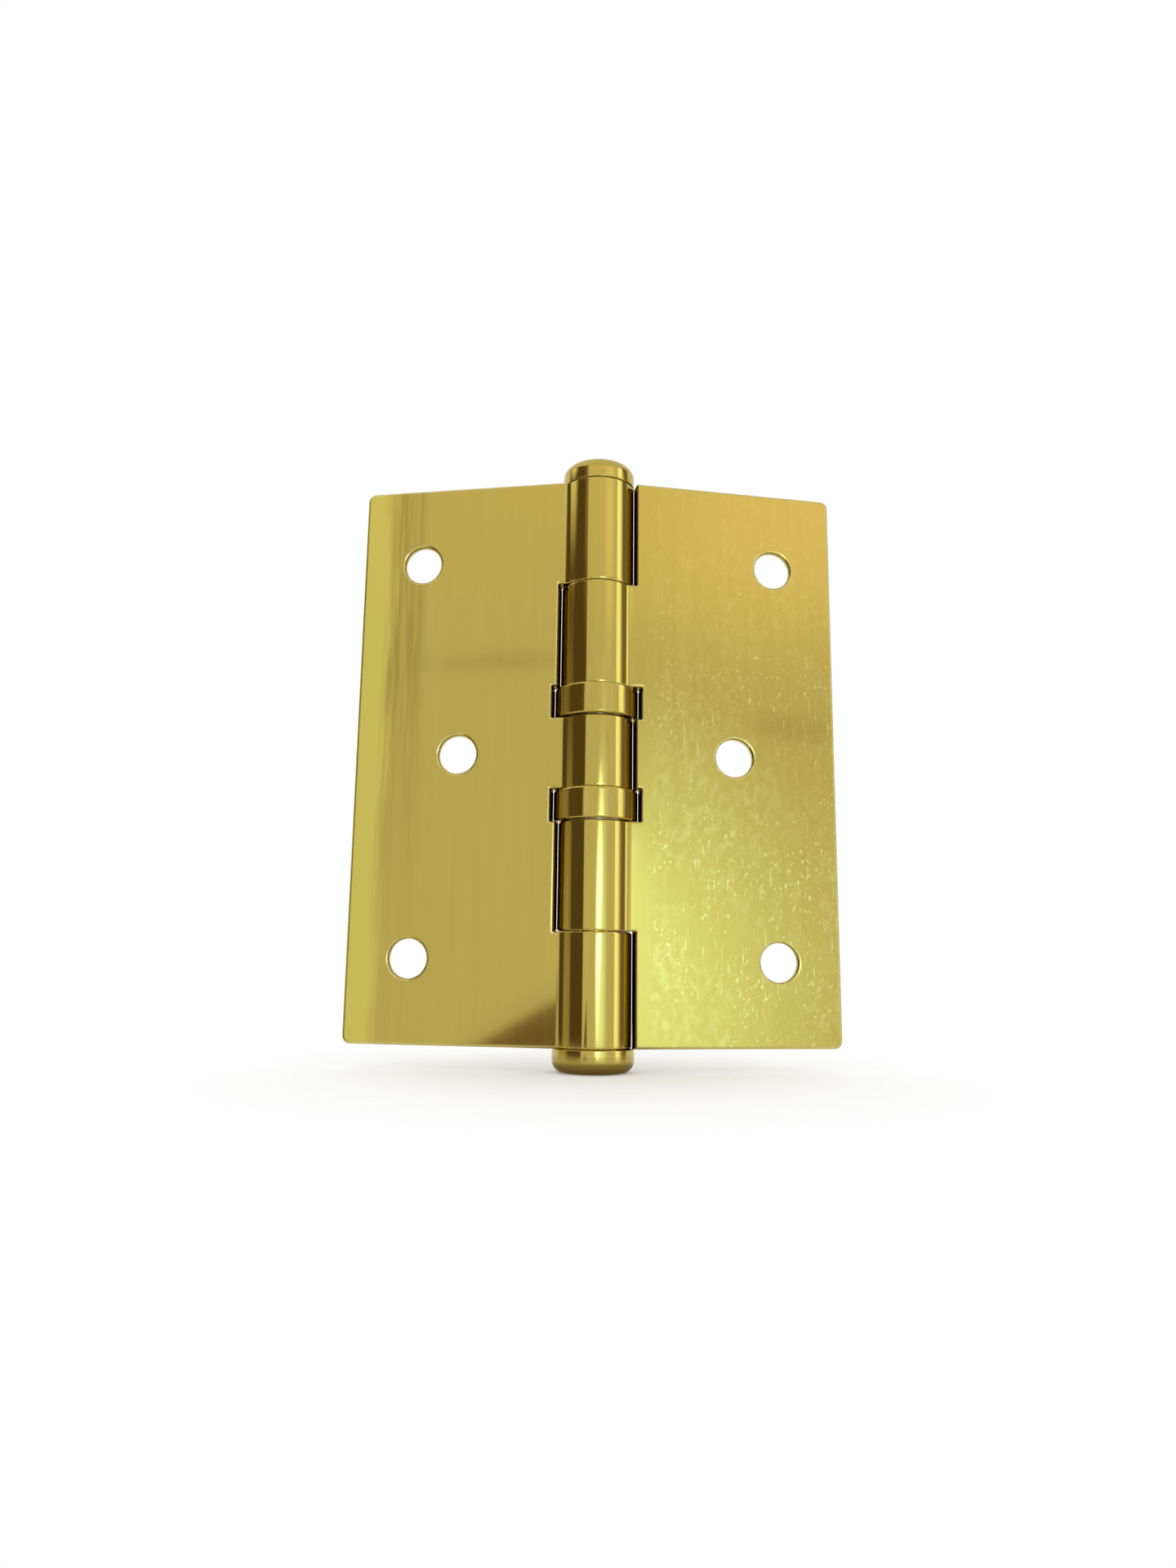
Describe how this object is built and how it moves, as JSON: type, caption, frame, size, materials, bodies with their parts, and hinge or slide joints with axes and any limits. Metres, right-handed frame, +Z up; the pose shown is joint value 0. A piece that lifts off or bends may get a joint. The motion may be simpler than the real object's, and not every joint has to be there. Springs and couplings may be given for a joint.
{
  "type": "door hinge",
  "caption": "Square-cornered butt hinge for a door: two screw-on leaves with rolled knuckles, ball bearings in the barrel and a lift-out pin with a button tip.",
  "frame": {"origin": "on the back (mounting) face of the frame leaf, midway between its two outer screw holes", "axes": "+Z up along the pin, towards its head; -Y out of the frame leaf's back face, into the door frame; +X from the frame leaf towards the pin"},
  "size_m": [0.0752, 0.018, 0.0962],
  "materials": {
    "leaf_brass": "mirror polished, lightly smudged",
    "pin_brass": "polished",
    "shell_brass": "polished, drawn",
    "race_steel": "hardened and ground",
    "ball_steel": "polished",
    "cage_brass": "stamped, satin"
  },
  "bodies": {
    "frame": {"frame_leaf": "leaf_brass", "bottom_plug": "pin_brass", "upper_bottom_race": "race_steel", "lower_bearing_shell": "shell_brass", "lower_top_race": "race_steel"},
    "door": {"door_leaf": "leaf_brass", "upper_bearing_shell": "shell_brass", "upper_top_race": "race_steel", "lower_bottom_race": "race_steel"},
    "pin": {"hinge_pin": "pin_brass"},
    "upper_ball_set": {"upper_ball_cage": "cage_brass", "upper_balls": "ball_steel"},
    "lower_ball_set": {"lower_ball_cage": "cage_brass", "lower_balls": "ball_steel"}
  },
  "joints": [
    {"name": "door_swing", "type": "hinge", "parent": "frame", "child": "door", "pos_m": [0.0282, 0.0041, 0], "axis": [0, 0, -1], "range_deg": [-160, 110]},
    {"name": "upper_ball_orbit", "type": "hinge", "parent": "frame", "child": "upper_ball_set", "pos_m": [0.0282, 0.0041, 0], "axis": [0, 0, -1], "range_deg": [-80, 55]},
    {"name": "lower_ball_orbit", "type": "hinge", "parent": "frame", "child": "lower_ball_set", "pos_m": [0.0282, 0.0041, 0], "axis": [0, 0, -1], "range_deg": [-80, 55]},
    {"name": "pin_lift", "type": "slide", "parent": "frame", "child": "pin", "axis": [0, 0, 1], "range_m": [0, 0.085]}
  ],
  "couplings": [
    {"joint": "upper_ball_orbit", "follows": "door_swing", "ratio": 0.5},
    {"joint": "lower_ball_orbit", "follows": "door_swing", "ratio": 0.5}
  ]
}
